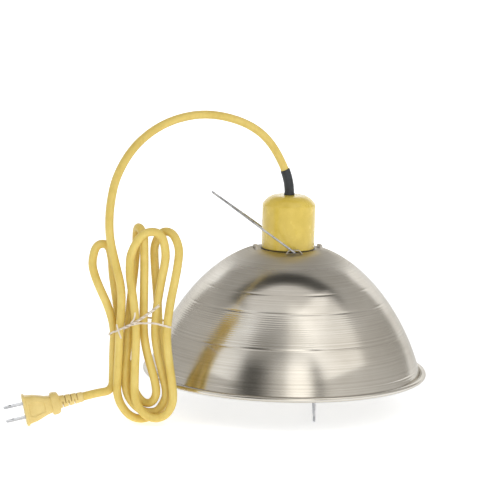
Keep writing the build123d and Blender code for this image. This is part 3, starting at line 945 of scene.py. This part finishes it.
def make_collar():
    """The crimped ring, with the six flats of the crimping tool."""
    low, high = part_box("cord_crimp_collar")[0].z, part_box("cord_crimp_collar")[1].z

    def section(angle):
        flat = 0.0050 - 0.00035 * abs(math.cos(3 * angle)) ** 6
        return outline(
            (flat, low, 0.0003), (flat, high, 0.0003), (0.00385, high, 0.0002), (0.00385, low, 0.0002)
        )

    return crisp(lathe("crimp_collar", section, 96))


finish_piece(make_collar(), "lamp", "brass_parts", "cord_crimp_collar")


# ---- hanger and bulb guard ----
def make_hanger():
    """The wire hanger, from the pin under one bridge over the tip to the pin under the other."""
    half = [(0.027, 0), (0.0337, 0), (0.029, 0.046), (0.005, 0.081), (0.0026, 0.089)]
    points = [(0, -y, s) for y, s in half] + [(0, y, s) for y, s in reversed(half)]
    reaches = [0.0018, 0.008, 0.006, 0.0018, 0.0018, 0.006, 0.008, 0.0018]
    pins = Matrix.Translation((0, 0, CROWN_Z + 0.0014))
    lean = Matrix.Rotation(math.radians(-54.6), 4, "Y")
    place = Matrix.Rotation(AXIS_TURN, 4, "Z") @ pins @ lean
    return bent_wire("hanger_wire", [place @ Vector(p) for p in points], reaches, 0.002)


finish_piece(make_hanger(), "hanger", "plated_steel", "hanger_bail")


def make_guard():
    """The guard wire across the mouth, sprung against the inside of the bowl at both ends."""
    low = 0.0012
    points = [
        (0.022, -0.1192, RIM_Z + 0.012),
        (0.024, -0.1222, RIM_Z + 0.001),
        (0.027, -0.080, low),
        (0.032, 0.080, low),
        (0.035, 0.1188, RIM_Z + 0.001),
        (0.036, 0.1158, RIM_Z + 0.012),
    ]
    return bent_wire("guard_wire", points, [0.003, 0.006, 0.006, 0.003], 0.0024)


finish_piece(make_guard(), "lamp", "plated_steel", "bulb_guard")


# ---- cord piece ----
cord = nurbs_curve("cord", CORD_ROUTE, CORD_D / 2)
finish_piece(cord, "lamp", "cord_jacket", "cord_arch", "cord_hank", "cord_tail")

# ---- twist tie ----
def strands_at(height):
    """Where the cord's passes cross the waist, as (x, y)."""
    found = []
    for a, b in zip(CORD_LINE, CORD_LINE[1:]):
        if (a.z - height) * (b.z - height) <= 0 and a.z != b.z:
            share = (height - a.z) / (b.z - a.z)
            found.append((a + (b - a) * share).to_2d())
    return found


def ribbon(name, line, across, width, thick):
    """A flat paper strip with the wire's bump along its middle. across gives the way of its width."""
    section = ((-0.5, 0.25), (-0.22, 0.34), (-0.10, 0.62), (0.10, 0.62), (0.22, 0.34), (0.5, 0.25),
               (0.5, -0.25), (0.22, -0.34), (0.10, -0.62), (-0.10, -0.62), (-0.22, -0.34), (-0.5, -0.25))
    rings = []
    for i, point in enumerate(line):
        along = (line[min(i + 1, len(line) - 1)] - line[max(i - 1, 0)]).normalized()
        side = across[i] - along * across[i].dot(along)
        side.normalize()
        face = along.cross(side)
        rings.append([point + side * (u * width) + face * (v * thick) for u, v in section])
    return tube(name, rings)


def make_tie():
    """A paper twist tie: a band round the waist, a twisted tail in front, and its loose ends."""
    width, thick = 0.0017, 0.0006
    strands = strands_at(TIE_Z)
    reach = CORD_D / 2 + 0.0006

    def height(x):
        share = min(1, max(0, (x + 0.164) / 0.064))
        return TIE_Z - 0.0088 + 0.0180 * math.sin(0.75 * math.pi * share ** 0.8)

    band = []
    for i in range(181):
        angle = math.radians(90 + 2 * i)
        out = Vector((math.cos(angle), math.sin(angle)))
        hold = max(strands, key=lambda p: p.dot(out))
        band.append(Vector((*(hold + out * reach), 0)))
    line = [band[0]]
    for a, b in zip(band, band[1:]):
        steps = max(1, int((b - a).length / 0.0012))
        line += [a + (b - a) * (k + 1) / steps for k in range(steps)]
    for point in line:
        point.z = height(point.x) + 0.0005 * noise.noise(Vector((point.x * 160, point.y * 160, 1)))
    pieces = [ribbon("band", line, [Vector((0, 0.15, 1))] * len(line), width, thick)]

    front = [point for point in line if point.y < -0.106]
    knot = min(front, key=lambda p: abs(p.x + 0.1430)) + Vector((0, -0.0012, 0.0006))
    way = Vector((0.0320, -0.0040, 0.0225))
    level = way.cross(Vector((0, 1, 0))).normalized()
    outward = way.cross(level).normalized()
    for side in (0, 1):
        strand, across = [], []
        for i in range(61):
            share = i / 60
            turn = side * math.pi + 2 * math.pi * 4.0 * share
            spread = 0.0010 * (1 - 0.25 * share)
            radial = level * math.cos(turn) + outward * math.sin(turn)
            sag = Vector((0, 0, -0.0016 * math.sin(math.pi * share)))
            strand.append(knot + way * (share - 0.12) + sag + radial * spread)
            across.append(level * math.sin(turn) - outward * math.cos(turn))
        pieces.append(ribbon("tail", strand, across, width * 1.1, thick))

    def end(start, middle, finish, sway):
        strand = round_bend(start, middle, finish, 14)
        return ribbon("end", strand, [sway] * 15, width * 0.8, thick * 0.9)

    left = min(line, key=lambda p: p.x)
    pieces.append(
        end(left + Vector((0.0078, -0.0150, 0.0125)), left + Vector((0.0094, -0.0170, 0.0065)),
            left + Vector((0.0122, -0.0160, 0.0000)), Vector((1, 0.2, 0.4)))
    )
    pieces.append(
        end(knot + Vector((0.0030, -0.0010, 0.0030)), knot + Vector((0.0068, -0.0030, 0.0060)),
            knot + Vector((0.0066, -0.0022, 0.0125)), Vector((1, 0.3, 0)))
    )
    return crisp(joined("twist_tie", *pieces), 50)


tie = finish_piece(make_tie(), "lamp", "tie_paper", "hank_tie")


# ---- plug ----
PLUG_FRAME = (
    Matrix.Translation((-0.234, -0.121, 0.0142))
    @ Matrix.Rotation(math.radians(12.0), 4, "Z")
    @ Matrix.Rotation(math.radians(-12.2), 4, "Y")
)
COLLAR_END = 0.0326
RELIEF_END = 0.0541
# Sections of the grip and the collar: place behind the face, half width, half thickness, squareness.
PLUG_SECTIONS = [
    (0.0, 13.3, 6.4, 6.0),
    (0.3, 13.9, 7.0, 6.0),
    (0.9, 14.2, 7.3, 6.0),
    (1.9, 14.2, 7.3, 6.0),
    (2.4, 13.7, 6.9, 5.5),
    (3.0, 13.0, 6.6, 5.0),
    (6.0, 12.4, 6.6, 4.6),
    (10.0, 11.9, 6.8, 4.2),
    (15.0, 10.2, 6.7, 3.8),
    (20.0, 8.5, 6.5, 3.4),
    (23.4, 7.9, 6.3, 3.2),
    (24.5, 7.6, 6.0, 3.0),
    (24.8, 9.2, 6.9, 3.0),
    (25.4, 9.9, 7.2, 3.0),
    (26.8, 10.2, 7.3, 3.0),
    (30.0, 10.0, 7.2, 2.8),
    (31.5, 9.3, 6.9, 2.6),
    (32.3, 8.0, 6.4, 2.4),
    (32.6, 6.4, 6.0, 2.2),
]


def plug_section(x):
    """Half width, half thickness and squareness at a place behind the face, in mm."""
    for before, after in zip(PLUG_SECTIONS, PLUG_SECTIONS[1:]):
        if x <= after[0]:
            share = (x - before[0]) / (after[0] - before[0])
            return [a + (b - a) * share for a, b in zip(before[1:], after[1:])]
    return PLUG_SECTIONS[-1][1:]


def make_grip():
    """The moulded grip and collar, with a shallow finger panel on each broad side."""
    end = PLUG_SECTIONS[-1][0]
    places = [end * i / 200 for i in range(201)]
    sections = [plug_section(x) for x in places]
    for _ in range(2):
        inner = [
            [(a + 2 * b + c) / 4 for a, b, c in zip(*three)]
            for three in zip(sections, sections[1:], sections[2:])
        ]
        sections = [sections[0]] + inner + [sections[-1]]
    rings = []
    for x, (half_width, half_thick, power) in zip(places, sections):
        ring = []
        for i in range(112):
            angle = 2 * math.pi * i / 112
            c, s = math.cos(angle), math.sin(angle)
            y = half_thick * math.copysign(abs(c) ** (2 / power), c)
            z = half_width * math.copysign(abs(s) ** (2 / power), s)
            panel = max(0, 1 - ((x - 11.5) / 7.2) ** 8) * max(0, 1 - (z / (0.52 * half_width)) ** 8)
            y -= math.copysign(0.85 * min(1, 2.2 * panel), y) if abs(y) > 0.6 * half_thick else 0
            ring.append(PLUG_FRAME @ (Vector((x, y, z)) * MM))
        rings.append(ring)
    return tube("grip", rings)


def half_ring(low, high, inner, outer, centre_angle, spread):
    """A part of a ring about the plug's axis, from low to high along it, to cut with."""
    rings = []
    for i in range(25):
        angle = centre_angle + spread * (i / 24 - 0.5)
        y, z = math.cos(angle), math.sin(angle)
        corners = ((low, inner), (high, inner), (high, outer), (low, outer))
        rings.append([PLUG_FRAME @ Vector((x, r * y, r * z)) for x, r in corners])
    return tube("slot", rings)


def make_relief():
    """The flexing strain relief: a tapered sleeve with slots from above and from below by turns."""
    line = [(COLLAR_END - 0.002, 0.0061), (COLLAR_END, 0.0060), (COLLAR_END + 0.0010, 0.0058)]
    line += [(COLLAR_END + 0.001 + 0.0193 * i / 30, 0.0058 - 0.0013 * i / 30) for i in range(1, 31)]
    line += [(RELIEF_END - 0.0008, 0.00446), (RELIEF_END - 0.0003, 0.0043), (RELIEF_END, 0.0039)]
    rings = []
    for x, radius in line:
        angles = (2 * math.pi * i / 64 for i in range(64))
        rings.append([PLUG_FRAME @ Vector((x, radius * math.cos(a), radius * math.sin(a))) for a in angles])
    sleeve = tube("sleeve", rings)
    slots = []
    for k in range(3):
        above = COLLAR_END + 0.0047 + 0.0054 * k
        slots.append(half_ring(above, above + 0.0008, 0.0030, 0.008, math.radians(115), math.radians(150)))
        below = above - 0.0028
        slots.append(half_ring(below, below + 0.0010, 0.0030, 0.008, math.radians(-115), math.radians(150)))
    return cut(sleeve, joined("slots", *slots))


plug = crisp(joined("plug", make_grip(), make_relief()), 45)
finish_piece(plug, "lamp", "plug_plastic", "plug_body")


def make_blade(name, side):
    """A flat blade with rounded corners, a tapered tip and the hole near it."""
    length, half, thick, hole = 0.0175, 0.003175, 0.0016, 0.0016
    data = bpy.data.curves.new(name, "CURVE")
    data.dimensions = "2D"
    data.fill_mode = "BOTH"
    data.extrude = thick / 2 - 0.0002
    data.bevel_depth = 0.0002
    data.bevel_resolution = 2
    edge = outline(
        (0.004, -half, 0), (0.004, half, 0),
        (-length + 0.0022, half, 0.0012), (-length, half - 0.0013, 0.0011),
        (-length, -half + 0.0013, 0.0011), (-length + 0.0022, -half, 0.0012),
    )
    angles = [2 * math.pi * i / 28 for i in range(28)]
    ring = [(-length + 0.0058 + hole * math.cos(a), hole * math.sin(a)) for a in angles]
    for points in (edge, ring):
        spline = data.splines.new("POLY")
        spline.points.add(len(points) - 1)
        for point, (x, y) in zip(spline.points, points):
            point.co = (x, y, 0, 1)
        spline.use_cyclic_u = True
    blade = apply_modifiers(link(bpy.data.objects.new(name, data)))
    blade.data.transform(PLUG_FRAME @ Matrix.Translation((0, 0, side * 0.00635)))
    return crisp(blade, 35)


blades = [
    finish_piece(make_blade("blade_line", 1), "lamp", "plated_steel", "plug_blade_line"),
    finish_piece(make_blade("blade_neutral", -1), "lamp", "plated_steel", "plug_blade_neutral"),
]

# ---- CAD nodes that are shown as they are ----
for node, slot in (
    ("cord_in_boot", "cord_jacket"),
    ("line_conductor", "conductor_black"),
    ("neutral_conductor", "conductor_white"),
):
    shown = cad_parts[node]
    shown.data.materials.clear()
    shown.data.materials.append(MATERIALS[slot])
